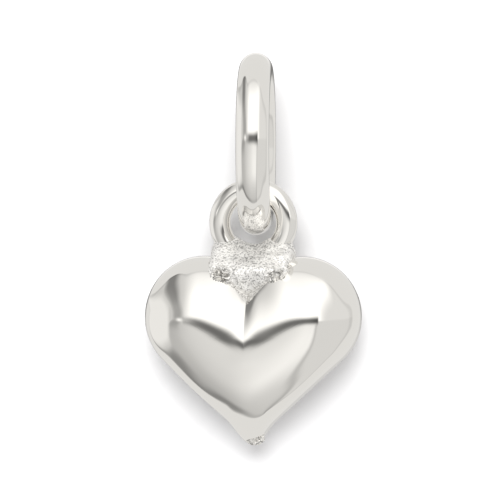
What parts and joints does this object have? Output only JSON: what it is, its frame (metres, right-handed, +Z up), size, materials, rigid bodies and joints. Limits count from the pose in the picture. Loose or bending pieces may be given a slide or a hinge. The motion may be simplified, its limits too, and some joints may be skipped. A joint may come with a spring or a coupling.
{
  "type": "heart charm on a jump ring",
  "caption": "Small hollow puffed heart charm in polished silver, its round eye soldered into the cleft, hanging from a round-wire jump ring.",
  "frame": {"origin": "inside the top of the jump ring, where a chain or bracelet link carries it", "axes": "+X across the heart to its right in the front view, +Y from its front to its back, +Z up along the hanging charm"},
  "size_m": [0.008, 0.0066, 0.0143],
  "materials": {
    "polished_silver": "mirror polish with hairlines",
    "cast_silver": "mirror polish, sandy and unpolished on the solder at the eye and on the nub at the tip"
  },
  "bodies": {
    "ring": {"jump_ring": "polished_silver"},
    "drop": {"heart": "cast_silver"}
  },
  "joints": [
    {"name": "swing", "type": "hinge", "parent": "ring", "child": "drop", "pos_m": [0, 0, -0.00484], "axis": [0, 1, 0], "range_deg": [-115, 115]}
  ]
}
